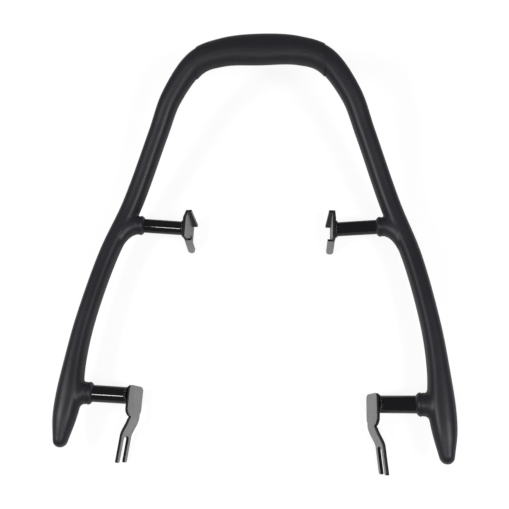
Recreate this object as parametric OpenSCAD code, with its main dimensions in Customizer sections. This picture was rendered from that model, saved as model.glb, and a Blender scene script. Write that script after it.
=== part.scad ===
// Padded grab hoop that carries luggage behind a motorcycle seat.
// A bent steel tube runs inside two moulded grips and a rear pad. Four stub
// tubes leave it inboard, and each ends in a pressed bracket for the subframe.
// Millimetres. +X is the rider's right, +Y is the rear, +Z is up.

/* [Hoop] */
// Half width of the hoop's centreline at the front stubs
front_half_width = 216; // [190:1:240]
// Half width of the hoop's centreline at the rear stubs
rear_half_width = 173; // [150:1:190]
// Distance between the front and the rear stub axes
stub_spacing = 215; // [180:1:260]
// Length of the centreline ahead of the front stub axis
tip_reach = 55.5; // [46:0.5:70]
// Length of the hoop behind the rear stub axis, on its centreline
rear_reach = 213.5; // [190:0.5:240]
// Half width of the centreline where the grips meet the rear pad
seam_half_width = 82; // [70:1:90]
// Height that the rear pad rises above the side rails
pad_rise = 68; // [40:1:90]
// Height of the side rails' centreline above the ground
rail_height = 41; // [40.5:0.5:50]

/* [Moulded covers] */
// Half width of the grip at its narrowest
grip_half_width = 11.7; // [11.5:0.1:14]
// Half height of the grip at its narrowest
grip_half_height = 13.5; // [12:0.1:17]
// Half width of the boss in which each front stub is seated
boss_half_width = 15.4; // [14:0.1:18]
// Half depth of the rear pad at its middle
pad_half_depth = 20.8; // [17:0.1:26]
// Half thickness of the rear pad at its middle
pad_half_height = 15; // [13:0.1:20]
// Gap between each grip and the rear pad
seam_gap = 0.5; // [0.3:0.1:1]
// How far each moulded collar reaches inboard of the rail's centreline
collar_reach = 27; // [25:0.5:34]
// Wall of each collar around its stub tube
collar_wall = 3; // [2.4:0.1:4]
// How far the front saddles spread along the rail, ahead of the collar
front_saddle_ahead = 17; // [8:0.5:20]
// How far the front saddles spread along the rail, behind the collar
front_saddle_behind = 5; // [3:0.5:10]
// How far the rear saddles spread along the rail, ahead of the collar
rear_saddle_ahead = 19; // [8:0.5:24]
// How far the rear saddles spread along the rail, behind the collar
rear_saddle_behind = 7; // [3:0.5:10]

/* [Tubes] */
// Outer diameter of the bent core tube
core_d = 19; // [16:0.1:19.5]
// Outer diameter of the front stub tubes
front_stub_d = 20; // [17:0.1:21]
// Outer diameter of the rear stub tubes
rear_stub_d = 18; // [15:0.1:20]
// Wall of all the tubes
tube_wall = 2; // [1.5:0.1:3]
// Fall of the front stub tubes towards the middle, in degrees
front_fall = 14; // [6:0.5:15]
// Fall of the rear stub tubes towards the middle, in degrees
rear_fall = 10; // [6:0.5:12]
// Length of the weld fillet along each stub tube
weld_l = 6; // [3:0.5:8]
// Width of the weld fillet on each bracket
weld_w = 3; // [1:0.5:4]
// Running clearance between a tube and what it passes through
clearance = 0.2; // [0.15:0.05:0.4]

/* [Front brackets] */
// Half width between the front plates, at the stub axes
front_plate_x = 141.5; // [125:0.5:150]
// Thickness of the steel that all brackets are pressed from
plate_t = 4; // [3:0.5:5]
// Lean of the front plates from upright, in degrees
front_lean = 24; // [15:1:32]
// Height of the front bracket's head, along its leaning plane
head_h = 25; // [24.5:0.5:28]
// How far the head reaches behind the stub axis
head_back = 12; // [12:0.5:16]
// How far the head reaches ahead of the stub axis
head_front = 26; // [22:0.5:30]
// Height of the forked leg, along its leaning plane
leg_h = 16.5; // [16:0.5:17.5]
// How far the leg's upper edge lies below the head's
leg_drop = 6.5; // [5:0.5:7]
// Droop of the forked leg within that plane, in degrees
leg_droop = 5; // [0:0.5:7]
// Distance from the stub axis to the ends of the fork
fork_reach = 77; // [74:1:90]
// How far the leg is stepped outboard
leg_step = 7; // [5:0.5:9]
// Splay of the leg outboard, past its step, in degrees
leg_splay = 10; // [8:0.5:13]
// Width of the fork's slot, for an M8 bolt
slot_w = 8.5; // [8.4:0.1:9]
// Length of the fork's slot from its round end to the open end
slot_l = 30.5; // [28:0.5:36]
// Radius of the relief notch where the leg leaves the head
relief_r = 1.5; // [1:0.1:2]

/* [Rear brackets] */
// Half width between the rear plates
rear_plate_x = 95; // [85:1:105]
// Lean of the rear plates from upright, in degrees
rear_lean = 5; // [0:1:10]
// How far the rear plate's top edge reaches behind the stub axis
rear_plate_back = 12; // [11:0.5:14]
// How far the rear plate's top edge reaches ahead of the stub axis
rear_plate_front = 14; // [12:0.5:16]
// How far the rear plate reaches above the stub axis
rear_plate_top = 11; // [10:0.5:12]
// Diameter of the bolt hole in the rear plate, for an M6 bolt
hole_d = 6.6; // [5.5:0.1:7]
// How far the bolt hole lies ahead of the stub axis
hole_ahead = 6; // [4:0.5:8]
// Height of the bolt hole's centre above the ground
hole_height = 9.5; // [9:0.5:11]
// Rake of the rear bracket's flange and tongue, in degrees from upright
rear_rake = 24; // [18:1:28]
// How far the flange's upper end lies behind the stub axis
flange_behind = 25; // [22:0.5:28]
// Height of the flange's upper end above the stub axis
flange_lift = 1.5; // [0:0.5:4]
// Width of the flange at its upper end
flange_top_w = 8; // [7:0.5:12]
// Width of the flange at its foot
flange_foot_w = 10.5; // [9:0.5:14]
// Height of the flange's foot above the ground
flange_clear = 4; // [2:0.5:6]
// How far the tongue's upper end lies below the stub axis
tongue_drop = 4; // [3:0.5:6]
// Width of the locating tongue
tongue_w = 9; // [7:0.5:11]
// Length of the tongue that stands free of the plate
tongue_free = 6; // [5:0.5:8]

/* [Hidden] */

// Facets: rings along a moulding, points around it, and sides of the core tube
grip_rings = 40;
pad_rings = 22;
skin_points = 20;
core_sides = 12;
core_rings = 60;

steel_black = [0.08, 0.08, 0.09];
skin_grey = [0.18, 0.18, 0.19];
zinc_grey = [0.55, 0.56, 0.57];

// Plan, height and section of the hoop's right half, from its tip to its middle:
// x, y, z, half width and half height at each station. Y is 0 at the front stubs.
rear_y = stub_spacing;
pad_y = stub_spacing + rear_reach;
side_pull = front_half_width - rear_half_width;
tip_r = boss_half_width * 0.56;
half_stations = [
    [front_half_width * 1.014, -tip_reach, 0, tip_r, tip_r * 1.15],
    [front_half_width * 1.009, -tip_reach * 0.55, 0, boss_half_width * 0.88, grip_half_height],
    [front_half_width, -tip_reach * 0.07, 0, boss_half_width, grip_half_height * 1.07],
    [front_half_width * 0.991, rear_y * 0.18, 0, grip_half_width * 1.09, grip_half_height * 1.04],
    [front_half_width - side_pull * 0.18, rear_y * 0.41, 0, grip_half_width, grip_half_height],
    [front_half_width - side_pull * 0.62, rear_y * 0.81, 0, grip_half_width * 1.02, grip_half_height],
    [rear_half_width * 0.954, rear_y + rear_reach * 0.118, pad_rise * 0.05,
     grip_half_width * 1.08, grip_half_height],
    [mix(rear_half_width, seam_half_width, 0.44), rear_y + rear_reach * 0.542, pad_rise * 0.42,
     grip_half_width * 1.08, grip_half_height],
    [mix(rear_half_width, seam_half_width, 0.637), rear_y + rear_reach * 0.75, pad_rise * 0.68,
     grip_half_width * 1.15, grip_half_height],
    [seam_half_width, rear_y + rear_reach * 0.937, pad_rise * 0.926,
     grip_half_width * 1.34, pad_half_height * 0.93],
    [seam_half_width * 0.58, rear_y + rear_reach * 0.99, pad_rise * 0.985,
     pad_half_depth * 0.88, pad_half_height],
    [0, pad_y, pad_rise, pad_half_depth, pad_half_height]];
seam_station = 9;
last_half = len(half_stations) - 1;
stations = concat(half_stations,
    [for (i = [last_half - 1 : -1 : 0]) mirrored(half_stations[i])]);

// The part's own frame: the middle of its length, and the ground under it
length_mid = (pad_y + pad_half_depth - max(fork_reach, tip_reach + tip_r)) / 2;

function mirrored(s) = [-s[0], s[1], s[2], s[3], s[4]];
function unit(v) = v / norm(v);
function mix(a, b, f) = a * (1 - f) + b * f;

// A centripetal curve through all the stations. Its knots grow with the root
// of the distance between stations, which keeps it free of overshoot.
function point_of(s) = [s[0], s[1], s[2]];
function knot_step(i) = sqrt(norm(point_of(stations[i + 1]) - point_of(stations[i])));
function knot_list(i = 0, sum = 0) =
    i >= len(stations) - 1 ? [sum] : concat([sum], knot_list(i + 1, sum + knot_step(i)));
knots = knot_list();
end_knot = knots[len(knots) - 1];
function station(i) =
    i < 0 ? 2 * stations[0] - stations[1]
    : i >= len(stations) ? 2 * stations[len(stations) - 1] - stations[len(stations) - 2]
    : stations[i];
function knot(i) =
    i < 0 ? -knots[1]
    : i >= len(knots) ? 2 * end_knot - knots[len(knots) - 2]
    : knots[i];
function segment_at(t, i = 0) = (i >= len(knots) - 2 || t < knots[i + 1]) ? i : segment_at(t, i + 1);
function blend_knots(a, b, ta, tb, t) = a * ((tb - t) / (tb - ta)) + b * ((t - ta) / (tb - ta));
function curve_at(t) =
    let (i = segment_at(t),
         t0 = knot(i - 1), t1 = knot(i), t2 = knot(i + 1), t3 = knot(i + 2),
         a1 = blend_knots(station(i - 1), station(i), t0, t1, t),
         a2 = blend_knots(station(i), station(i + 1), t1, t2, t),
         a3 = blend_knots(station(i + 1), station(i + 2), t2, t3, t),
         b1 = blend_knots(a1, a2, t0, t2, t),
         b2 = blend_knots(a2, a3, t1, t3, t))
    blend_knots(b1, b2, t1, t2, t);

// Directions at a place on the curve: along it, outboard and up
function along(t) = unit(point_of(curve_at(min(t + 0.02, end_knot))) - point_of(curve_at(max(t - 0.02, 0))));
function outboard(t) = unit(cross(along(t), [0, 0, 1]));
function upward(t) = cross(outboard(t), along(t));

// The knot at which the right rail passes a given y
function knot_at_y(y, low = 0, high = knots[seam_station], n = 24) =
    n == 0 ? (low + high) / 2
    : curve_at((low + high) / 2)[1] < y ? knot_at_y(y, (low + high) / 2, high, n - 1)
    : knot_at_y(y, low, (low + high) / 2, n - 1);

// A closed ring of points round a section that is a little squarer than an oval
squareness = 0.9;
function power(v) = sign(v) * pow(abs(v), squareness);
function oval(half_w, half_h, n) =
    [for (k = [0 : n - 1]) [half_w * power(cos(360 * k / n)), half_h * power(sin(360 * k / n))]];
function placed_ring(t, section, shift = 0) =
    let (c = point_of(curve_at(t)) + along(t) * shift, s = outboard(t), u = upward(t))
    [for (p = section) c + s * p[0] + u * p[1]];
function skin_ring(t, shrink = 1, shift = 0) =
    let (s = curve_at(t))
    placed_ring(t, oval(s[3] * shrink, s[4] * shrink, skin_points), shift);

// A solid through a list of rings that all have the same number of points
module skin(rings) {
    n = len(rings[0]);
    m = len(rings);
    points = [for (r = rings) for (p = r) p];
    first_cap = [for (k = [n - 1 : -1 : 0]) k];
    last_cap = [for (k = [0 : n - 1]) (m - 1) * n + k];
    sides = [for (i = [0 : m - 2]) for (k = [0 : n - 1]) for (f =
        [[i * n + k, i * n + (k + 1) % n, (i + 1) * n + k],
         [i * n + (k + 1) % n, (i + 1) * n + (k + 1) % n, (i + 1) * n + k]]) f];
    polyhedron(points, concat([first_cap], sides, [last_cap]), convexity = 6);
}

module on_ground() { translate([0, -length_mid, rail_height]) children(); }

module both_sides(left) {
    if (left) mirror([1, 0, 0]) children();
    else children();
}

// Core tube
core_start = knots[1] * 0.55;
function core_ring(t, r) = placed_ring(t, [for (k = [0 : core_sides - 1])
    [r * cos(360 * k / core_sides), r * sin(360 * k / core_sides)]]);
function core_knots(extra = 0) =
    [for (i = [0 : core_rings]) mix(core_start - extra, end_knot - core_start + extra, i / core_rings)];

module core_solid(r, extra = 0) { skin([for (t = core_knots(extra)) core_ring(t, r)]); }

module core_tube() {
    color(steel_black) on_ground() difference() {
        core_solid(core_d / 2);
        core_solid(core_d / 2 - tube_wall, 0.05);
    }
}

// Where a stub meets the rail's centreline and the middle of its plate
function stub_root(y) = point_of(curve_at(knot_at_y(y)));
function fall_at(y) = y == 0 ? front_fall : rear_fall;
function plate_middle(y, plate_x) =
    let (root = stub_root(y)) [plate_x, y, root[2] - (root[0] - plate_x) * tan(fall_at(y))];

// The frame of a plate: X runs ahead, Y up the plate and Z inboard, square to it
module plate_frame(y, plate_x, lean) {
    translate(plate_middle(y, plate_x)) rotate([0, lean, 0]) rotate([90, 0, -90]) children();
}

// The frame of a stub: Z runs inboard along its axis from the rail's centreline
module stub_frame(y) {
    translate(stub_root(y)) rotate([0, -90 - fall_at(y), 0]) children();
}

module stub(y, plate_x, lean, d) {
    root = stub_root(y);
    reach = (root[0] - plate_x) / cos(fall_at(y)) + d;
    t = knot_at_y(y);
    turn = atan2(along(t)[0], along(t)[1]);
    climb = asin(along(t)[2]);
    color(steel_black) difference() {
        union() {
            stub_frame(y) cylinder(d = d, h = reach, $fn = 64);
            // Weld fillet against the plate
            plate_frame(y, plate_x, lean) translate([0, 0, -plate_t / 2 - weld_l])
                cylinder(r1 = d / 2 - 1, r2 = d / 2 + weld_w, h = weld_l + plate_t, $fn = 64);
        }
        stub_frame(y) translate([0, 0, -1]) cylinder(d = d - 2 * tube_wall, h = reach + 2, $fn = 64);
        // Coped end, seated against the core tube
        translate(root) rotate([climb - 90, 0, -turn])
            cylinder(r = core_d / 2 + clearance, h = 3 * d, center = true, $fn = 64);
        translate(root) translate([d, 0, 0]) cube([2 * d, 4 * d, 4 * d], center = true);
        // Everything past the back of the plate
        plate_frame(y, plate_x, lean) translate([-2 * d, -2 * d, -plate_t / 2])
            cube([4 * d, 4 * d, 4 * d]);
    }
}

// Moulded saddle that carries the cover on to a stub. It narrows to the collar,
// which ends in a low lip and a rounded nose. Each nose ring has its height
// above the collar and its place from the collar's end, in walls of the collar.
saddle_steps = 12;
saddle_start = 2;
nose_l = collar_wall * 1.4;
nose_rings = [[0.07, -1.2], [0.18, -1.0], [0.18, -0.75], [-0.15, -0.3], [-0.65, 0]];
function saddle_flare(f) = pow(1 - f, 2.4);
module saddle(y, d, behind, ahead) {
    collar_r = d / 2 + collar_wall;
    stub_frame(y) skin(concat(
        [for (i = [0 : saddle_steps])
            let (f = i / saddle_steps, g = saddle_flare(f),
                 z = mix(saddle_start, collar_reach - nose_l, f),
                 b = mix(collar_r, grip_half_height - 0.5, g * 0.8))
            [for (k = [0 : skin_points - 1])
                let (a = -360 * k / skin_points, c = sin(a))
                [b * cos(a), c * (collar_r + g * (c > 0 ? behind : ahead)), z]]],
        [for (n = nose_rings)
            [for (k = [0 : skin_points - 1])
                let (a = -360 * k / skin_points, r = collar_r + n[0] * collar_wall)
                [r * cos(a), r * sin(a), collar_reach + n[1] * collar_wall]]]));
}

// Both covers are swept past the seam and cut there by an upright plane
seam_knot = knots[seam_station];
seam_overrun = 3;
module between_seams(half_width) {
    translate([-half_width, rear_y, -pad_y]) cube([2 * half_width, pad_y, 2 * pad_y]);
}

grip_knots = [for (i = [0 : grip_rings]) mix(0, seam_knot + seam_overrun, i / grip_rings)];
nose_steps = [80, 62, 44, 27, 12];

module grip() {
    color(skin_grey) difference() {
        union() {
            skin(concat(
                [for (a = nose_steps) skin_ring(0, cos(a), -tip_r * sin(a))],
                [for (t = grip_knots) skin_ring(t)]));
            saddle(0, front_stub_d, front_saddle_behind, front_saddle_ahead);
            saddle(rear_y, rear_stub_d, rear_saddle_behind, rear_saddle_ahead);
        }
        between_seams(seam_half_width + seam_gap / 2);
        core_solid(core_d / 2 + clearance, 0.1);
        stub_frame(0) cylinder(d = front_stub_d + 2 * clearance, h = collar_reach + 5, $fn = 48);
        stub_frame(rear_y) cylinder(d = rear_stub_d + 2 * clearance, h = collar_reach + 5, $fn = 48);
    }
}

module rear_pad() {
    start = seam_knot - seam_overrun;
    color(skin_grey) on_ground() difference() {
        intersection() {
            skin([for (i = [0 : pad_rings]) skin_ring(mix(start, end_knot - start, i / pad_rings))]);
            between_seams(seam_half_width - seam_gap / 2);
        }
        core_solid(core_d / 2 + clearance);
    }
}

// The leg leaves the head at its root, where the sheet starts to step outboard
leg_top = head_h / 2 - leg_drop;
leg_root = head_front * 0.84;
leg_l = fork_reach - leg_root;
slot_end = leg_l - slot_l + slot_w / 2;
prong_w = (leg_h - slot_w) / 2;
step_start = leg_root;
step_end = fork_reach - slot_l;
step_count = 14;
function smooth(f) = f * f * (3 - 2 * f);
// How far the leg's sheet lies from the head's plane, at a distance ahead of the stub
function leg_offset(x) =
    let (f = smooth(min(1, (x - step_start) / (step_end - step_start))))
    -f * (leg_step + (x - step_start) * tan(leg_splay));
sheet_path = concat([[-head_back - 5, 0]],
    [for (i = [0 : step_count])
        let (x = mix(step_start, step_end, i / step_count)) [x, leg_offset(x)]],
    [[fork_reach + 5, leg_offset(fork_reach + 5)]]);
function path_normal(i) =
    let (a = sheet_path[max(i - 1, 0)], b = sheet_path[min(i + 1, len(sheet_path) - 1)], d = unit(b - a))
    [-d[1], d[0]];

module sheet_profile() {
    last = len(sheet_path) - 1;
    polygon(concat(
        [for (i = [0 : last]) sheet_path[i] + path_normal(i) * plate_t / 2],
        [for (i = [last : -1 : 0]) sheet_path[i] - path_normal(i) * plate_t / 2]));
}

// The leg's own frame: X runs along it from its root, at the middle of its height
module leg_frame() { translate([leg_root, leg_top - leg_h / 2]) rotate(-leg_droop) children(); }

// Outline of the flat blank: a round-cornered head, the leg and its open slot
head_corner = head_h * 0.2;
head_shoulder = head_h * 0.4;
leg_overlap = head_front * 0.24;
module front_outline() {
    difference() {
        union() {
            hull() {
                for (side = [-1, 1]) {
                    translate([-head_back + head_corner, side * (head_h / 2 - head_corner)])
                        circle(head_corner, $fn = 32);
                    translate([head_front * 0.96 - head_shoulder, side * (head_h / 2 - head_shoulder)])
                        circle(head_shoulder, $fn = 32);
                }
            }
            leg_frame() {
                translate([-leg_overlap, -leg_h / 2]) square([leg_l + leg_overlap - prong_w / 2, leg_h]);
                for (side = [-1, 1])
                    translate([leg_l - prong_w / 2, side * (leg_h - prong_w) / 2])
                        circle(d = prong_w, $fn = 32);
            }
        }
        leg_frame() {
            translate([slot_end, 0]) circle(d = slot_w, $fn = 48);
            translate([slot_end, -slot_w / 2]) square([slot_l, slot_w]);
            translate([relief_r * 2, leg_h / 2 + relief_r * 0.3]) circle(relief_r, $fn = 24);
        }
    }
}

module front_bracket() {
    color(zinc_grey) plate_frame(0, front_plate_x, front_lean) intersection() {
        linear_extrude(height = 2 * fork_reach, center = true, convexity = 4) front_outline();
        translate([0, head_h, 0]) rotate([90, 0, 0])
            linear_extrude(height = 2 * head_h, convexity = 4) sheet_profile();
    }
}

// A strip of sheet turned inboard along a raked edge of the rear plate. X runs up
// the edge from its foot, and the strip lies ahead of the edge.
module raked_edge(foot_x, foot_y) {
    translate([foot_x, foot_y, 0]) rotate([0, 0, 90 + rear_rake]) rotate([90, 0, 0]) children();
}

// The rear plate, with a flange turned inboard along its rear edge and a tongue
// along its front edge, both set a little proud of the plate's edges. The plate is
// drawn to below the ground and trimmed level with it.
ground_margin = 10;
edge_set = 0.8;
module rear_bracket() {
    middle = plate_middle(rear_y, rear_plate_x);
    foot = -(middle[2] + rail_height) / cos(rear_lean);
    below = foot - ground_margin;
    flange_foot = -flange_behind + (flange_lift - below) * tan(rear_rake);
    flange_l = (flange_lift - below) / cos(rear_rake);
    tongue_foot = rear_plate_front + (-tongue_drop - below) * tan(rear_rake);
    tongue_l = (-tongue_drop - below) / cos(rear_rake);
    plate_foot = hole_ahead + hole_d;
    flange_start = (ground_margin + flange_clear) / cos(rear_rake);
    tongue_start = (ground_margin + plate_t * sin(rear_rake)) / cos(rear_rake);
    color(zinc_grey) difference() {
        plate_frame(rear_y, rear_plate_x, rear_lean) {
            difference() {
                linear_extrude(height = plate_t, center = true)
                    polygon([[-flange_behind, flange_lift], [-rear_plate_back, rear_plate_top],
                             [rear_plate_front, rear_plate_top], [rear_plate_front, -tongue_drop],
                             [tongue_foot - (ground_margin + tongue_free) * tan(rear_rake),
                              foot + tongue_free],
                             [plate_foot, foot], [plate_foot, below], [flange_foot, below]]);
                translate([hole_ahead, foot + hole_height, 0])
                    cylinder(d = hole_d, h = 4 * plate_t, center = true, $fn = 48);
            }
            raked_edge(flange_foot - edge_set, below) linear_extrude(height = plate_t)
                polygon([[flange_start, -plate_t / 2], [flange_start, flange_foot_w - plate_t / 2],
                         [flange_l, flange_top_w - plate_t / 2], [flange_l, -plate_t / 2]]);
            // Locating tongue, with a round end
            raked_edge(tongue_foot + edge_set, below) translate([0, 0, -plate_t]) linear_extrude(height = plate_t)
                translate([0, -plate_t / 2]) union() {
                    translate([tongue_start + tongue_w / 2, 0])
                        square([tongue_l - tongue_start - tongue_w / 2, tongue_w]);
                    translate([tongue_start + tongue_w / 2, tongue_w / 2]) circle(d = tongue_w, $fn = 32);
                }
        }
        translate([0, rear_y - 2 * rear_plate_x, -rail_height - 4 * ground_margin])
            cube([2 * rear_plate_x, 4 * rear_plate_x, 4 * ground_margin]);
    }
}

module front_stub() { stub(0, front_plate_x, front_lean, front_stub_d); }
module rear_stub() { stub(rear_y, rear_plate_x, rear_lean, rear_stub_d); }

core_tube();
on_ground() both_sides(true) grip();  // left_grip
on_ground() both_sides(false) grip();  // right_grip
rear_pad();
on_ground() both_sides(true) front_stub();  // front_left_stub
on_ground() both_sides(false) front_stub();  // front_right_stub
on_ground() both_sides(true) rear_stub();  // rear_left_stub
on_ground() both_sides(false) rear_stub();  // rear_right_stub
on_ground() both_sides(true) front_bracket();  // front_left_bracket
on_ground() both_sides(false) front_bracket();  // front_right_bracket
on_ground() both_sides(true) rear_bracket();  // rear_left_bracket
on_ground() both_sides(false) rear_bracket();  // rear_right_bracket
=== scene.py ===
# Looks of a padded grab hoop that carries luggage behind a motorcycle seat.
# The skins are made afresh over the frame, the pressed brackets and stub tubes are
# dressed copies of the frame's own pieces, and everything rides on the one body.
import math

import bmesh
import bpy
from mathutils import Matrix, Vector


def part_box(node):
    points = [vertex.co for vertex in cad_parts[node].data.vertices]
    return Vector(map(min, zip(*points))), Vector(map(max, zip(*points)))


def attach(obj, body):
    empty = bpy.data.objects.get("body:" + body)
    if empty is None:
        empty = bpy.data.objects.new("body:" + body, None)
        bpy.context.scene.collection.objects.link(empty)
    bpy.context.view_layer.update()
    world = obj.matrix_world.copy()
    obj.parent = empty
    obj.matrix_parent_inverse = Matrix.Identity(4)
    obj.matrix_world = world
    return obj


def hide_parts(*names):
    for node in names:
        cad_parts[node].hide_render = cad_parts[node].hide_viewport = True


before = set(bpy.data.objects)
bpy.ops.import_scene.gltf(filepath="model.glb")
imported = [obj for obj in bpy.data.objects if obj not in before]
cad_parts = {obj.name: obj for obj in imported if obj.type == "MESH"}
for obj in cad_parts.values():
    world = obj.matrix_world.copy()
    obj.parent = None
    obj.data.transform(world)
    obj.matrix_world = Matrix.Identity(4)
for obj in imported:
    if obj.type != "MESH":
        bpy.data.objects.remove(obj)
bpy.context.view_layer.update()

mm = 0.001
deg = math.pi / 180

# The hoop's right half from its tip to its middle, in mm: x, y, z, half width and
# half height of the section. Y is 0 at the front stubs and Z at the side rails.
hoop = {
    "stations": [
        (219, -55.5, 0, 8.6, 9.9),
        (217.9, -30.5, 0, 13.6, 13.5),
        (216, -3.9, 0, 15.4, 14.4),
        (214.1, 38.7, 0, 12.8, 14),
        (208.3, 88.2, 0, 11.7, 13.5),
        (189.3, 174.2, 0, 11.9, 13.5),
        (165, 240.2, 3.4, 12.6, 13.5),
        (133, 330.7, 28.6, 12.6, 13.5),
        (115, 375.1, 46.2, 13.5, 13.5),
        (82, 415.1, 63, 15.7, 14),
        (47.6, 426.4, 67, 18.3, 15),
        (0, 428.5, 68, 20.8, 15),
    ],
    "seam": 9,  # the station at which a grip meets the pad
    "seamX": 82,  # half width between the two upright seam planes
    "seamGap": 0.06,
    "overrun": 3,  # knots that each cover is swept past the seam before the cut
    "squareness": 0.9,
    "middle": 186.15,  # from the front stubs to the part's own origin
    "height": 41,  # of the side rails above the floor
}


def toFrame(point):
    # From the hoop's own place, in mm, to the frame, in metres
    return Vector((point[0], point[1] - hoop["middle"], point[2] + hoop["height"])) * mm


class HoopCurve:
    # A centripetal curve through all the stations, the right half and its mirror image
    def __init__(self, half):
        other = [(-s[0],) + s[1:] for s in reversed(half[:-1])]
        inner = [Vector(s) for s in list(half) + other]
        self.stations = [2 * inner[0] - inner[1]] + inner + [2 * inner[-1] - inner[-2]]
        knots = [0.0]
        for a, b in zip(inner, inner[1:]):
            knots.append(knots[-1] + math.sqrt((b - a).xyz.length))
        self.end = knots[-1]
        self.knots = [-knots[1]] + knots + [2 * knots[-1] - knots[-2]]

    def at(self, t):
        i = 1
        while i < len(self.knots) - 3 and t >= self.knots[i + 1]:
            i += 1
        k = self.knots[i - 1:i + 3]
        s = self.stations[i - 1:i + 3]
        a = [self.mix(s[n], s[n + 1], k[n], k[n + 1], t) for n in range(3)]
        b = [self.mix(a[n], a[n + 1], k[n], k[n + 2], t) for n in range(2)]
        return self.mix(b[0], b[1], k[1], k[2], t)

    @staticmethod
    def mix(a, b, ta, tb, t):
        return a * ((tb - t) / (tb - ta)) + b * ((t - ta) / (tb - ta))

    def axes(self, t):
        # Directions along the hoop, outboard and up
        step = 0.02
        along = (self.at(min(t + step, self.end)) - self.at(max(t - step, 0))).xyz.normalized()
        outboard = along.cross(Vector((0, 0, 1))).normalized()
        return along, outboard, outboard.cross(along)

    def seamKnot(self):
        return self.knots[hoop["seam"] + 1]

    def atY(self, y):
        # The knot at which the right rail passes a given y, by halving
        low, high = 0.0, self.seamKnot()
        for _ in range(24):
            middle = (low + high) / 2
            if self.at(middle).y < y:
                low = middle
            else:
                high = middle
        return low


curve = HoopCurve(hoop["stations"])


def spread(first, last, count):
    return [first + (last - first) * n / (count - 1) for n in range(count)]


def squarish(value):
    return math.copysign(abs(value) ** hoop["squareness"], value)


def hoopRing(t, count, grow=0.0, shift=0.0, shrink=1.0):
    # Points round the hoop's own section, in metres
    s = curve.at(t)
    along, outboard, up = curve.axes(t)
    points = []
    for k in range(count):
        a = math.tau * k / count
        place = s.xyz + along * shift
        place += outboard * (s[3] * shrink + grow) * squarish(math.cos(a))
        place += up * (s[4] * shrink + grow) * squarish(math.sin(a))
        points.append(toFrame(place))
    return points


def roundRing(t, radius, count):
    # Points round the core tube, in metres
    s = curve.at(t)
    along, outboard, up = curve.axes(t)
    angles = [math.tau * k / count for k in range(count)]
    return [toFrame(s.xyz + radius * (outboard * math.cos(a) + up * math.sin(a))) for a in angles]


def ofType(geometry, kind):
    return [item for item in geometry if isinstance(item, kind)]


def sweep(bm, rings):
    # Extrudes a circle from ring to ring and closes both ends
    circle = bmesh.ops.create_circle(bm, cap_ends=False, segments=len(rings[0]), radius=1)["verts"]
    edges = list({e for v in circle for e in v.link_edges})
    for vert, point in zip(circle, rings[0]):
        vert.co = point
    firstEdges = list(edges)
    current = circle
    for ring in rings[1:]:
        made = bmesh.ops.extrude_edge_only(bm, edges=edges)["geom"]
        newVerts = {v.co.copy().freeze(): v for v in ofType(made, bmesh.types.BMVert)}
        current = [newVerts[v.co.copy().freeze()] for v in current]
        ringVerts = set(current)
        edges = [e for e in ofType(made, bmesh.types.BMEdge) if ringVerts.issuperset(e.verts)]
        for vert, point in zip(current, ring):
            vert.co = point
    for rim in (firstEdges, edges):
        bmesh.ops.contextual_create(bm, geom=rim)
    bmesh.ops.recalc_face_normals(bm, faces=bm.faces)


def newPiece(name, bm):
    mesh = bpy.data.meshes.new(name)
    bm.to_mesh(mesh)
    bm.free()
    obj = bpy.data.objects.new(name, mesh)
    bpy.context.scene.collection.objects.link(obj)
    return obj


def bake(obj):
    # Turns an object's modifiers into its mesh
    bpy.context.view_layer.update()
    graph = bpy.context.evaluated_depsgraph_get()
    mesh = bpy.data.meshes.new_from_object(obj.evaluated_get(graph))
    old = obj.data
    obj.modifiers.clear()
    obj.data = mesh
    bpy.data.meshes.remove(old)


def carve(obj, tool, operation):
    # Joins a closed tool to a piece, or cuts it away
    cut = obj.modifiers.new("carve", "BOOLEAN")
    cut.operation = operation
    cut.solver = "EXACT"
    cut.object = tool
    bake(obj)
    bpy.data.objects.remove(tool)


def smoothByAngle(obj, angle):
    # Shades a piece smooth, apart from edges that turn more than the angle
    bm = bmesh.new()
    bm.from_mesh(obj.data)
    for face in bm.faces:
        face.smooth = True
    for edge in bm.edges:
        edge.smooth = edge.is_manifold and edge.calc_face_angle(0) < angle
    bm.to_mesh(obj.data)
    bm.free()


print("hoop: %d stations, curve length %.1f knots" % (len(curve.stations) - 2, curve.end))


# Shader maths. A wire is one output socket, and Python's own operators add Math nodes to it.
class Wire:
    def __init__(self, finish, socket):
        self.finish = finish
        self.socket = socket

    def maths(self, operation, a, b):
        return self.finish.add("Math", {"operation": operation}, {0: a, 1: b})

    def __add__(self, other):
        return self.maths("ADD", self, other)

    def __radd__(self, other):
        return self.maths("ADD", other, self)

    def __sub__(self, other):
        return self.maths("SUBTRACT", self, other)

    def __rsub__(self, other):
        return self.maths("SUBTRACT", other, self)

    def __mul__(self, other):
        return self.maths("MULTIPLY", self, other)

    def __rmul__(self, other):
        return self.maths("MULTIPLY", other, self)


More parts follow.
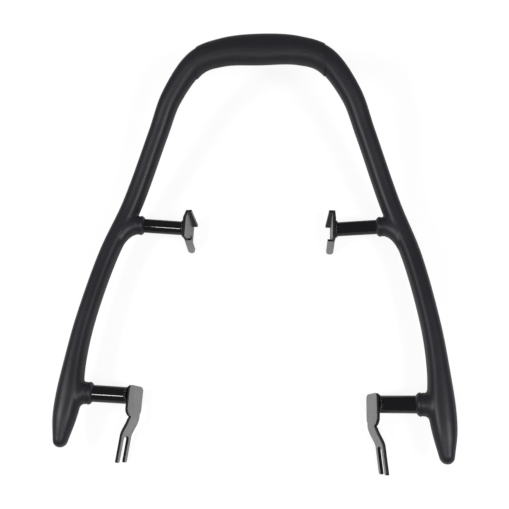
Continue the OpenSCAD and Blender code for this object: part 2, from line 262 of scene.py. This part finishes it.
class Finish:
    # One procedural material, built on the piece's own coordinates
    def __init__(self, name):
        self.material = bpy.data.materials.new(name)
        self.material.use_nodes = True
        self.tree = self.material.node_tree
        self.tree.nodes.clear()
        self.place = self.add("TexCoord", out="Object")

    def add(self, kind, settings=None, values=None, out=0):
        node = self.tree.nodes.new("ShaderNode" + kind)
        for key, value in (settings or {}).items():
            setattr(node, key, value)
        for key, value in (values or {}).items():
            if isinstance(value, Wire):
                self.tree.links.new(value.socket, node.inputs[key])
            else:
                node.inputs[key].default_value = value
        return Wire(self, node.outputs[out])

    def noise(self, scale, detail=2.0, rough=0.5, place=None):
        values = {"Vector": place or self.place, "Scale": scale, "Detail": detail, "Roughness": rough}
        return self.add("TexNoise", None, values, "Fac")

    def cells(self, scale, feature="F1", place=None):
        values = {"Vector": place or self.place, "Scale": scale}
        return self.add("TexVoronoi", {"feature": feature}, values, "Distance")

    def between(self, value, low, high):
        # 0 below low, 1 above high, smooth in the middle
        values = {"Value": value, "From Min": low, "From Max": high}
        return self.add("MapRange", {"interpolation_type": "SMOOTHSTEP"}, values, "Result")

    def blend(self, factor, first, second):
        return self.add("Mix", {"data_type": "RGBA"}, {0: factor, 6: first, 7: second}, 2)

    def bump(self, height, distance, under=None):
        values = {"Height": height, "Distance": distance, "Strength": 1.0}
        if under is not None:
            values["Normal"] = under
        return self.add("Bump", None, values, "Normal")

    def close(self, values):
        shader = self.add("BsdfPrincipled", None, values, "BSDF")
        output = self.tree.nodes.new("ShaderNodeOutputMaterial")
        self.tree.links.new(shader.socket, output.inputs["Surface"])
        return self.material


def shade(level, tint=(1.0, 1.0, 1.0)):
    return (level * tint[0], level * tint[1], level * tint[2], 1.0)


coolTint = (0.92, 0.95, 1.3)
midTones = (0.3, 0.7)  # the noise values between which a tone changes

# Scales are in cells a metre and depths in metres. A name that ends in Rough is how much
# the roughness varies with that layer.
skinLook = {
    "colour": 0.0125,
    "mottle": 0.12,
    "cloudScale": 28,
    "roughness": 0.36,
    "cloudRough": 0.10,
    "grainRough": 0.10,
    "specular": 0.32,
    "grainScale": 1150,
    "grainDepth": 0.05 * mm,
    "poreScale": 2600,
    "poreDepth": 0.02 * mm,
}


def mottled(f, look):
    # A slow cloud, and the dark colour that drifts with it
    cloud = f.noise(look["cloudScale"], 4, 0.6)
    dark = shade(look["colour"] * (1 - look["mottle"]), coolTint)
    light = shade(look["colour"] * (1 + look["mottle"]), coolTint)
    return cloud, f.blend(f.between(cloud, *midTones), dark, light)


def closeSkin(f, look, colour, rough, relief):
    # Adds the finest pores to a skin's relief and closes it
    pores = f.noise(look["poreScale"], 2, 0.6)
    normal = f.bump(pores, look["poreDepth"], relief)
    return f.close({
        "Base Color": colour, "Roughness": rough, "Normal": normal,
        "Specular IOR Level": look["specular"]})


def skinFinish(name, look):
    f = Finish(name)
    cloud, colour = mottled(f, look)
    grain = f.cells(look["grainScale"], "SMOOTH_F1")
    rough = look["roughness"] + look["cloudRough"] * (cloud - 0.5) + look["grainRough"] * grain
    return closeSkin(f, look, colour, rough, f.bump(1 - grain, look["grainDepth"]))


padLook = {
    "colour": 0.0125,
    "mottle": 0.10,
    "creaseShade": 0.7,  # painted shade in the creases: their tone beside the rest
    "cloudScale": 28,
    "roughness": 0.36,
    "cloudRough": 0.08,
    "valleyRough": 0.12,
    "specular": 0.32,
    "wanderScale": 260,
    "wander": 0.0016,  # how far the creases stray
    "hideScale": 620,
    "creaseWidth": 0.22,
    "hideDepth": 0.12 * mm,
    "poreScale": 2600,
    "poreDepth": 0.025 * mm,
}


def padFinish(name, look):
    f = Finish(name)
    cloud, colour = mottled(f, look)
    drift = {"Vector": f.place, "Scale": look["wanderScale"], "Detail": 2}
    wander = f.add("TexNoise", None, drift, "Color")
    bent = f.add("Mix", {"data_type": "VECTOR"}, {0: look["wander"], 4: f.place, 5: wander}, 1)
    creases = f.cells(look["hideScale"], "DISTANCE_TO_EDGE", bent)
    hide = f.between(creases, 0.0, look["creaseWidth"])
    # The creases are darkened in colour here: painted shade
    colour = f.blend(hide, shade(look["colour"] * look["creaseShade"], coolTint), colour)
    rough = look["roughness"] + look["valleyRough"] * (1 - hide) + look["cloudRough"] * (cloud - 0.5)
    return closeSkin(f, look, colour, rough, f.bump(hide, look["hideDepth"]))


tubeLook = {
    "colour": 0.003,
    "dustTone": 1.6,
    "roughness": 0.065,
    "dustRough": 0.06,
    "specular": 0.34,
    "dustScale": 1500,
    "dustTones": (0.5, 0.9),
    "dustHaze": (0.55, 0.8),
    "peelScale": 240,
    "orangePeel": 0.008 * mm,
}


def tubeFinish(name, look):
    f = Finish(name)
    peel = f.noise(look["peelScale"])
    dust = f.noise(look["dustScale"], 3, 0.7)
    clean, dusty = shade(look["colour"], coolTint), shade(look["colour"] * look["dustTone"])
    return f.close({
        "Base Color": f.blend(f.between(dust, *look["dustTones"]), clean, dusty),
        "Roughness": look["roughness"] + look["dustRough"] * f.between(dust, *look["dustHaze"]),
        "Normal": f.bump(peel, look["orangePeel"]),
        "Specular IOR Level": look["specular"]})


steelLook = {
    "face": 0.30,
    "spread": 0.12,
    "roughness": 0.5,
    "cloudRough": 0.12,
    "streakRough": 0.10,
    "metal": 0.9,
    "streakScale": 900,
    "streakStretch": (1.0, 0.06, 1.0),  # the sheet was rolled along Y
    "cloudScale": 60,
    "gritScale": 2400,
    "relief": 0.02 * mm,
}


def steelFinish(name, look):
    f = Finish(name)
    stretch = {"Vector": f.place, "Scale": look["streakStretch"]}
    streaks = f.noise(look["streakScale"], 3, 0.6, f.add("Mapping", None, stretch, "Vector"))
    cloud = f.noise(look["cloudScale"], 3)
    grit = f.noise(look["gritScale"], 2, 0.7)
    tone = 0.5 * f.between(streaks, *midTones) + 0.5 * f.between(cloud, *midTones)
    dark = shade(look["face"] * (1 - look["spread"]))
    light = shade(look["face"] * (1 + look["spread"]))
    variation = look["cloudRough"] * (cloud - 0.5) + look["streakRough"] * (streaks - 0.5)
    return f.close({
        "Base Color": f.blend(tone, dark, light),
        "Metallic": look["metal"],
        "Roughness": look["roughness"] + variation,
        "Normal": f.bump(grit, look["relief"], f.bump(streaks, look["relief"]))})


# Dark tones on sheared edges, partly edge scale and partly painted shade, and painted shade on the
# flange
scaleAndShadeLook = {
    "edge": {"colour": 0.012, "roughness": 0.42},
    # The flange's dark tone is painted shade
    "flange": {"colour": 0.035, "roughness": 0.5},
    "spark": (0.62, 0.75),
    "sparkTone": 3.2,
    "gritRough": 0.12,
    "metal": 0.2,
    "specular": 0.25,
    "striaeScale": 1300,
    "striaeStretch": (0.3, 1.0, 0.3),
    "striaeDepth": 0.07 * mm,
    "gritScale": 2000,
    "gritDepth": 0.04 * mm,
}


def scaleAndShadeFinish(name, look, part):
    f = Finish(name)
    stretch = {"Vector": f.place, "Scale": look["striaeStretch"]}
    striae = f.noise(look["striaeScale"], 2, 0.6, f.add("Mapping", None, stretch, "Vector"))
    grit = f.noise(look["gritScale"], 3, 0.7)
    level = look[part]["colour"]
    spark = f.between(grit, *look["spark"])
    return f.close({
        "Base Color": f.blend(spark, shade(level), shade(level * look["sparkTone"])),
        "Metallic": look["metal"],
        "Roughness": look[part]["roughness"] + look["gritRough"] * (grit - 0.5),
        "Normal": f.bump(striae, look["striaeDepth"], f.bump(grit, look["gritDepth"])),
        "Specular IOR Level": look["specular"]})


# Moulded grips. Each is one skin with two saddles, cut square at its seam.
grip = {
    "around": 48,
    "rings": 150,
    "noseAngles": (84, 72, 60, 48, 36, 24, 12),  # of the rings that round the tip off
    "tipRadius": 8.6,
    "voxel": 1.1 * mm,
    "smoothing": 14,  # passes
    "seamEdge": 0.5 * mm,
}
# Each saddle: the stub's place along the rail and its tube, how far the saddle runs out
# along the rail on both sides, the stub's fall, and its plate's place and lean
saddles = {
    "front": {
        "y": 0, "tube": 20, "behind": 5, "ahead": 17, "fall": 14, "plateX": 141.5, "lean": 24,
    },
    "rear": {
        "y": 215, "tube": 18, "behind": 7, "ahead": 19, "fall": 10, "plateX": 95, "lean": 5,
    },
}
saddleShape = {
    "wall": 3,
    "reach": 27,
    "nose": 4.2,
    "open": 0.85,  # the share of the saddle that is swept, up to the turned collar
    "start": 2,
    "flare": 2.4,
    "fullness": 0.8,
    "steps": 24,
    "around": 48,
    "halfHeight": 13,
    "clearance": 0.2,
}
# The collar's turned end: a groove, a low bead and a rounded nose. Each point of the
# profile is its height above the swept collar and its place from the collar's end.
collar = {
    "profile": [
        (-0.6, -13), (0, -11.5), (0, -6.4), (-0.35, -6.0), (-0.35, -5.5), (0.1, -5.0), (0.35, -4.3),
        (0.35, -3.5), (0.1, -2.7), (-0.35, -1.9), (-1.0, -1.1), (-1.7, -0.4), (-2.2, 0),
    ],
    "cover": 0.1,  # that the turned end stands over the swept collar
    "around": 72,
    "merge": 0.01 * mm,
}
bore = {"around": 64, "past": 5}  # how far it runs past the collar's end
skinCrease = 38 * deg  # the sharpest turn that is shaded smooth
core = {
    "diameter": 19,
    "around": 32,
    "rings": 130,
    "start": 0.5,  # share of the way from the tip to the next station
}


def stubMatrix(saddle):
    # Z runs inboard along a stub's axis from the right rail's centreline
    root = toFrame(curve.at(curve.atY(saddle["y"])).xyz)
    return Matrix.Translation(root) @ Matrix.Rotation((-90 - saddle["fall"]) * deg, 4, "Y")


def saddleRings(saddle):
    shape = saddleShape
    radius = saddle["tube"] / 2 + shape["wall"]
    place = stubMatrix(saddle)
    rings = []
    for f in spread(0, shape["open"], shape["steps"]):
        flare = (1 - f) ** shape["flare"]
        z = shape["start"] + (shape["reach"] - shape["nose"] - shape["start"]) * f
        half = radius + (shape["halfHeight"] - radius) * flare * shape["fullness"]
        ring = []
        for k in range(shape["around"]):
            a = math.tau * k / shape["around"]
            side = saddle["behind"] if math.sin(a) > 0 else saddle["ahead"]
            wide = (radius + flare * side) * math.sin(a)
            ring.append(place @ (Vector((half * math.cos(a), wide, z)) * mm))
        rings.append(ring)
    return rings


def collarTool(saddle):
    # Spins the collar's profile, closed at the stub's axis
    radius = saddle["tube"] / 2 + saddleShape["wall"] + collar["cover"]
    rim = [(radius + high, back) for high, back in collar["profile"]]
    profile = [(0, rim[0][1])] + rim + [(0, rim[-1][1])]
    profile = [(r, saddleShape["reach"] + back) for r, back in profile]
    bm = bmesh.new()
    verts = [bm.verts.new(Vector((r, 0, z)) * mm) for r, z in profile]
    edges = [bm.edges.new(pair) for pair in zip(verts, verts[1:])]
    bmesh.ops.spin(
        bm, geom=verts + edges, cent=(0, 0, 0), axis=(0, 0, 1), dvec=(0, 0, 0),
        angle=math.tau, steps=collar["around"], use_merge=True, use_duplicate=False)
    bmesh.ops.remove_doubles(bm, verts=bm.verts, dist=collar["merge"])
    bmesh.ops.recalc_face_normals(bm, faces=bm.faces)
    bmesh.ops.transform(bm, matrix=stubMatrix(saddle), verts=bm.verts)
    return newPiece("collarTool", bm)


def boreTool(saddle):
    # What a stub tube needs clear inside its collar
    length = (saddleShape["reach"] + bore["past"]) * mm
    radius = (saddle["tube"] / 2 + saddleShape["clearance"]) * mm
    bm = bmesh.new()
    bmesh.ops.create_cone(
        bm, cap_ends=True, segments=bore["around"], radius1=radius, radius2=radius, depth=length)
    bmesh.ops.translate(bm, vec=(0, 0, length / 2), verts=bm.verts)
    bmesh.ops.transform(bm, matrix=stubMatrix(saddle), verts=bm.verts)
    return newPiece("boreTool", bm)


def coreTool(first, last):
    bm = bmesh.new()
    radius = core["diameter"] / 2 + saddleShape["clearance"]
    sweep(bm, [roundRing(t, radius, core["around"]) for t in spread(first, last, core["rings"])])
    return newPiece("coreTool", bm)


seamCut = {"merge": 0.001 * mm, "segments": 3}


def cutAtSeam(bm, x, outer, edge):
    # Cuts a cover at an upright plane across the hoop, and rounds the cut's rim. What
    # lies past the plane goes, on its +X side where outer is 1 and its -X side where -1.
    cut = bmesh.ops.bisect_plane(
        bm, geom=list(bm.verts) + list(bm.edges) + list(bm.faces), dist=seamCut["merge"],
        plane_co=(x * mm, 0, 0), plane_no=(outer, 0, 0), clear_outer=True)
    rim = ofType(cut["geom_cut"], bmesh.types.BMEdge)
    cap = bmesh.ops.contextual_create(bm, geom=rim)["faces"]
    bmesh.ops.recalc_face_normals(bm, faces=bm.faces)
    bmesh.ops.bevel(
        bm, geom=list(cap[0].edges), offset=edge, offset_type="OFFSET",
        segments=seamCut["segments"], profile=0.5, affect="EDGES", material=-1,
        clamp_overlap=True)


def makeGrip():
    seam = curve.seamKnot()
    bm = bmesh.new()
    nose = []
    for angle in grip["noseAngles"]:
        back = -grip["tipRadius"] * math.sin(angle * deg)
        nose.append(hoopRing(0, grip["around"], shift=back, shrink=math.cos(angle * deg)))
    body = [hoopRing(t, grip["around"]) for t in spread(0, seam + hoop["overrun"], grip["rings"])]
    sweep(bm, nose + body)
    for saddle in saddles.values():
        sweep(bm, saddleRings(saddle))
    skin = newPiece("rightGrip", bm)
    remesh = skin.modifiers.new("blend", "REMESH")
    remesh.mode = "VOXEL"
    remesh.voxel_size = grip["voxel"]
    bake(skin)

    bm = bmesh.new()
    bm.from_mesh(skin.data)
    for _ in range(grip["smoothing"]):
        bmesh.ops.smooth_vert(
            bm, verts=bm.verts, factor=0.5, use_axis_x=True, use_axis_y=True, use_axis_z=True)
    cutAtSeam(bm, hoop["seamX"] + hoop["seamGap"] / 2, -1, grip["seamEdge"])
    bm.to_mesh(skin.data)
    bm.free()

    for saddle in saddles.values():
        carve(skin, collarTool(saddle), "UNION")
    carve(skin, coreTool(core["start"] * curve.knots[2], seam + 2 * hoop["overrun"]), "DIFFERENCE")
    for saddle in saddles.values():
        carve(skin, boreTool(saddle), "DIFFERENCE")
    smoothByAngle(skin, skinCrease)
    print("right grip: %d faces" % len(skin.data.polygons))
    return skin


def mirrored(obj, name):
    bm = bmesh.new()
    bm.from_mesh(obj.data)
    bmesh.ops.scale(bm, vec=(-1, 1, 1), verts=bm.verts)
    bmesh.ops.reverse_faces(bm, faces=bm.faces)
    return newPiece(name, bm)


# Rear pad, fuller than the grips where it meets them
pad = {
    "around": 72,
    "rings": 120,
    "proud": 0.8,  # at the seams, over the grips
    "proudFrom": 50,  # half width of the part that swells no further
    "seamEdge": 0.7 * mm,
    "coreRun": 0.5,  # knots that the core tube runs past the uncut pad
}


def makePad():
    first = curve.seamKnot() - hoop["overrun"]
    last = curve.end - first
    bm = bmesh.new()
    rings = []
    for t in spread(first, last, pad["rings"]):
        swell = (abs(curve.at(t).x) - pad["proudFrom"]) / (hoop["seamX"] - pad["proudFrom"])
        rings.append(hoopRing(t, pad["around"], grow=pad["proud"] * min(1.0, max(0.0, swell))))
    sweep(bm, rings)
    for outer in (1, -1):
        cutAtSeam(bm, outer * (hoop["seamX"] - hoop["seamGap"] / 2), outer, pad["seamEdge"])
    skin = newPiece("rearPad", bm)
    carve(skin, coreTool(first - pad["coreRun"], last + pad["coreRun"]), "DIFFERENCE")
    smoothByAngle(skin, skinCrease)
    print("rear pad: %d faces" % len(skin.data.polygons))
    return skin


# Pressed brackets and stub tubes: merged copies of the frame's pieces, the brackets with broken edges
sheetEdge = {
    "break": 0.45 * mm,
    "segments": 3,
    "sharp": 28 * deg,
    "merge": 0.005 * mm,
    "flat": 0.6 * deg,
}


def dressedCopy(node, name, breakEdges):
    bm = bmesh.new()
    bm.from_mesh(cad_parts[node].data)
    bmesh.ops.remove_doubles(bm, verts=bm.verts, dist=sheetEdge["merge"])
    bmesh.ops.dissolve_limit(
        bm, angle_limit=sheetEdge["flat"], verts=bm.verts, edges=bm.edges,
        use_dissolve_boundaries=False)
    if breakEdges:
        sharp = [e for e in bm.edges if e.is_manifold and e.calc_face_angle(0) > sheetEdge["sharp"]]
        bmesh.ops.bevel(
            bm, geom=sharp, offset=breakEdges, offset_type="OFFSET",
            segments=sheetEdge["segments"], profile=0.5, affect="EDGES", material=-1,
            clamp_overlap=True)
    obj = newPiece(name, bm)
    smoothByAngle(obj, sheetEdge["sharp"])
    return obj


# Rippled weld beads where each stub tube meets its plate
weld = {
    "scales": 44,
    "radius": 1.7,
    "uneven": 0.12,
    "beat": 7.3,  # turns the size from scale to scale
    "lift": 0.9,
    "spread": 0.5,
    "halfPlate": 2,
}


def addWeld(stub, saddle, side):
    root = curve.at(curve.atY(saddle["y"])).xyz
    fall, lean = saddle["fall"] * deg, saddle["lean"] * deg
    drop = (root.x - saddle["plateX"]) * math.tan(fall)
    middle = Vector((saddle["plateX"], saddle["y"], root.z - drop))
    inboard = Vector((-math.cos(fall), 0, -math.sin(fall)))
    upward = Vector((-math.sin(fall), 0, math.cos(fall)))
    plateNormal = Vector((-math.cos(lean), 0, math.sin(lean)))
    radius = saddle["tube"] / 2 + weld["spread"]
    bm = bmesh.new()
    bm.from_mesh(stub.data)
    for n in range(weld["scales"]):
        a = math.tau * n / weld["scales"]
        out = radius * (Vector((0, math.cos(a), 0)) + upward * math.sin(a))
        back = (-weld["lift"] - weld["halfPlate"] - out.dot(plateNormal)) / inboard.dot(plateNormal)
        place = toFrame(middle + out + inboard * back)
        place.x *= side
        size = weld["radius"] * (1 + weld["uneven"] * math.sin(weld["beat"] * n)) * mm
        made = bmesh.ops.create_icosphere(
            bm, subdivisions=2, radius=size, matrix=Matrix.Translation(place))
        for vert in made["verts"]:
            for face in vert.link_faces:
                face.smooth = True
    bm.to_mesh(stub.data)
    bm.free()


print("skins and steel: modelling")
skinMaterial = skinFinish("grip skin", skinLook)
padMaterial = padFinish("pad skin", padLook)
tubeMaterial = tubeFinish("gloss black tube", tubeLook)
steelMaterial = steelFinish("zinc sheet", steelLook)
# The edges' dark tone is partly painted shade, and the flange's dark tone is painted shade
edgeScaleAndShadeMaterial = scaleAndShadeFinish("sheared edge", scaleAndShadeLook, "edge")
flangeShadeMaterial = scaleAndShadeFinish("flange top", scaleAndShadeLook, "flange")

rightGrip = makeGrip()
leftGrip = mirrored(rightGrip, "leftGrip")
rearPad = makePad()
for obj, node, slot, material in (
        (rightGrip, "right_grip", "grip_skin", skinMaterial),
        (leftGrip, "left_grip", "grip_skin", skinMaterial),
        (rearPad, "rear_pad", "pad_skin", padMaterial)):
    obj.data.materials.clear()
    obj.data.materials.append(material)
    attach(obj, "root")
    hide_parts(node)


# A bracket's face is zinc where its normal lies near the direction named, by the cosine given
paint = {
    "rake": 24 * deg,  # of the rear flange and tongue
    "plate": 0.55,
    "bend": 0.3,  # for the front legs' bends, which also look up; their faces that look down keep the dark edge tone as painted shade
    "bendUp": 0.2,
    "raked": 0.95,
}


def paintBracket(obj, node, side, end):
    # Zinc faces, dark sheared edges partly in painted shade, and a dark, rough flange in painted
    # shade
    zinc, sheared, flange = range(3)
    obj.data.materials.clear()
    for material in (steelMaterial, edgeScaleAndShadeMaterial, flangeShadeMaterial):
        obj.data.materials.append(material)
    lean = saddles[end]["lean"] * deg
    inboard = Vector((-side * math.cos(lean), 0, math.sin(lean)))
    raked = Vector((0, -math.cos(paint["rake"]), math.sin(paint["rake"])))
    middle = sum(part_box(node), Vector()).y / 2
    for face in obj.data.polygons:
        turn = abs(face.normal.dot(inboard))
        bend = end == "front" and face.normal.z > paint["bendUp"] and turn > paint["bend"]
        face.material_index = zinc if turn > paint["plate"] or bend else sheared
        # The rear flange gets a dark tone beside the zinc tongue of the same sheet: painted shade
        if end == "rear" and abs(face.normal.dot(raked)) > paint["raked"]:
            face.material_index = zinc if face.center.y < middle else flange


for end in ("front", "rear"):
    for side, word in ((-1, "left"), (1, "right")):
        node = "%s_%s_bracket" % (end, word)
        bracket = dressedCopy(node, end + word.capitalize() + "Bracket", sheetEdge["break"])
        paintBracket(bracket, node, side, end)
        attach(bracket, "root")
        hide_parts(node)
        node = "%s_%s_stub" % (end, word)
        stub = dressedCopy(node, end + word.capitalize() + "Stub", 0)
        addWeld(stub, saddles[end], side)
        stub.data.materials.clear()
        stub.data.materials.append(tubeMaterial)
        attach(stub, "root")
        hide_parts(node)
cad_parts["core_tube"].data.materials.clear()
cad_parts["core_tube"].data.materials.append(tubeMaterial)
print("steel: brackets and stubs dressed")

# The studio: a pale floor, a dim room and three lamps
studio = {
    "floorSize": 8,
    "floorColour": 0.90,
    "floorRoughness": 0.9,
    "floorGlow": 0.8,  # share of the floor's seen brightness that is its own
    "floorShine": 1.08,
    "room": 0.30,
    "aim": (0, 0, 0.04),
    "key": {"place": (0.0, -0.60, 1.15), "size": 0.13, "watts": 2.2},
    "left": {"place": (-0.92, -0.28, 1.2), "size": 0.3, "watts": 8.5},
    "right": {"place": (0.82, -0.42, 1.2), "size": 0.3, "watts": 8},
}


def makeFloor():
    # Seen by the camera, part of the floor's brightness is its own, so that it stays
    # white round the hoop and keeps a faint shadow. To all else it is plain and pale.
    bm = bmesh.new()
    bmesh.ops.create_grid(bm, x_segments=1, y_segments=1, size=studio["floorSize"] / 2)
    floor = newPiece("floor", bm)
    f = Finish("pale floor")
    chalk = {"Base Color": shade(studio["floorColour"]), "Roughness": studio["floorRoughness"]}
    plain = f.add("BsdfPrincipled", None, chalk, "BSDF")
    own = {"Color": shade(1.0), "Strength": studio["floorShine"]}
    glow = f.add("Emission", None, own, "Emission")
    seen = f.add("LightPath", out="Is Camera Ray")
    both = f.add("MixShader", None, {0: studio["floorGlow"] * seen, 1: plain, 2: glow})
    output = f.tree.nodes.new("ShaderNodeOutputMaterial")
    f.tree.links.new(both.socket, output.inputs["Surface"])
    floor.data.materials.append(f.material)


def makeLamp(name, lamp):
    data = bpy.data.lights.new(name, "AREA")
    data.shape = "SQUARE"
    data.size = lamp["size"]
    data.energy = lamp["watts"]
    obj = bpy.data.objects.new(name, data)
    bpy.context.scene.collection.objects.link(obj)
    obj.location = lamp["place"]
    beam = Vector(studio["aim"]) - Vector(lamp["place"])
    obj.rotation_euler = beam.to_track_quat("-Z", "Y").to_euler()


makeFloor()
for lampName in ("key", "left", "right"):
    makeLamp(lampName, studio[lampName])
world = bpy.data.worlds.new("room")
bpy.context.scene.world = world
world.use_nodes = True
room = world.node_tree.nodes["Background"].inputs
room["Color"].default_value = shade(1.0)
room["Strength"].default_value = studio["room"]

# The camera stands above the front end, a little to the rider's right
camera = {
    "place": (0.08565, -0.27725, 0.7990),
    "yaw": 6.64,
    "pitch": 19.27,
    "roll": -2.78,
    "focal": 650,  # in pixels, of a picture this wide
    "width": 509,
    "sensor": 36,
    "near": 0.01,
}


def makeCamera():
    data = bpy.data.cameras.new("camera")
    data.sensor_width = camera["sensor"]
    data.lens = camera["sensor"] * camera["focal"] / camera["width"]
    data.clip_start = camera["near"]
    obj = bpy.data.objects.new("camera", data)
    bpy.context.scene.collection.objects.link(obj)
    yaw = Matrix.Rotation(camera["yaw"] * deg, 4, "Y")
    pitch = Matrix.Rotation(camera["pitch"] * deg, 4, "X")
    roll = Matrix.Rotation(-camera["roll"] * deg, 4, "Z")
    obj.matrix_world = Matrix.Translation(camera["place"]) @ yaw @ pitch @ roll
    bpy.context.scene.camera = obj


makeCamera()
bpy.context.scene.view_settings.view_transform = "Standard"
print("studio: floor, lamps and camera set")
